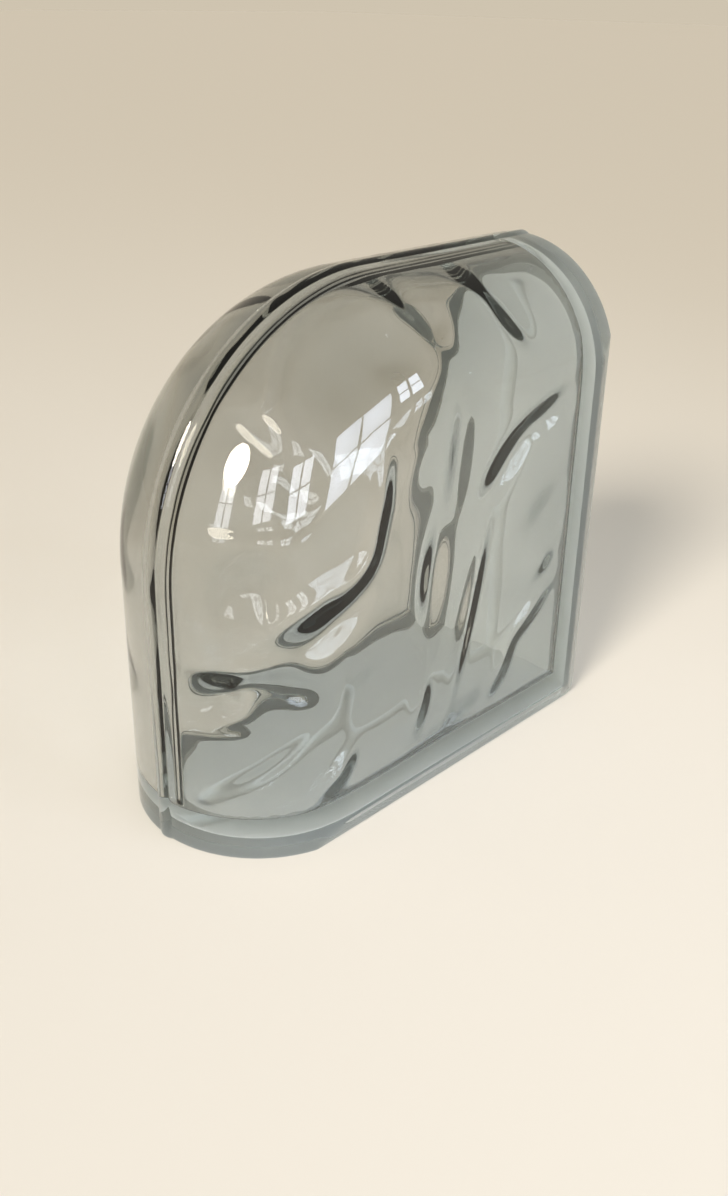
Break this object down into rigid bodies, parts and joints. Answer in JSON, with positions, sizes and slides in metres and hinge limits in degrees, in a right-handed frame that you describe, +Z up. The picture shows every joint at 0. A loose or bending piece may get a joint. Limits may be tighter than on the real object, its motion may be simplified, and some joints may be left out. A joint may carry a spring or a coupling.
{
  "type": "glass block",
  "caption": "Hollow wavy glass block for the open end of a panel, with half-round finished edges that meet in a large rounded corner, and keyed laying sides for mortar.",
  "frame": {"origin": "centre of the footprint, on the floor that the block stands on", "axes": "+Z up, +X towards the upright laying side, -Y out of the face seen in the picture"},
  "size_m": [0.197, 0.098, 0.197],
  "materials": {
    "glass": "pressed clear soda-lime glass, fire-polished faces"
  },
  "bodies": {
    "root": {"glass_block": "glass"}
  },
  "joints": []
}
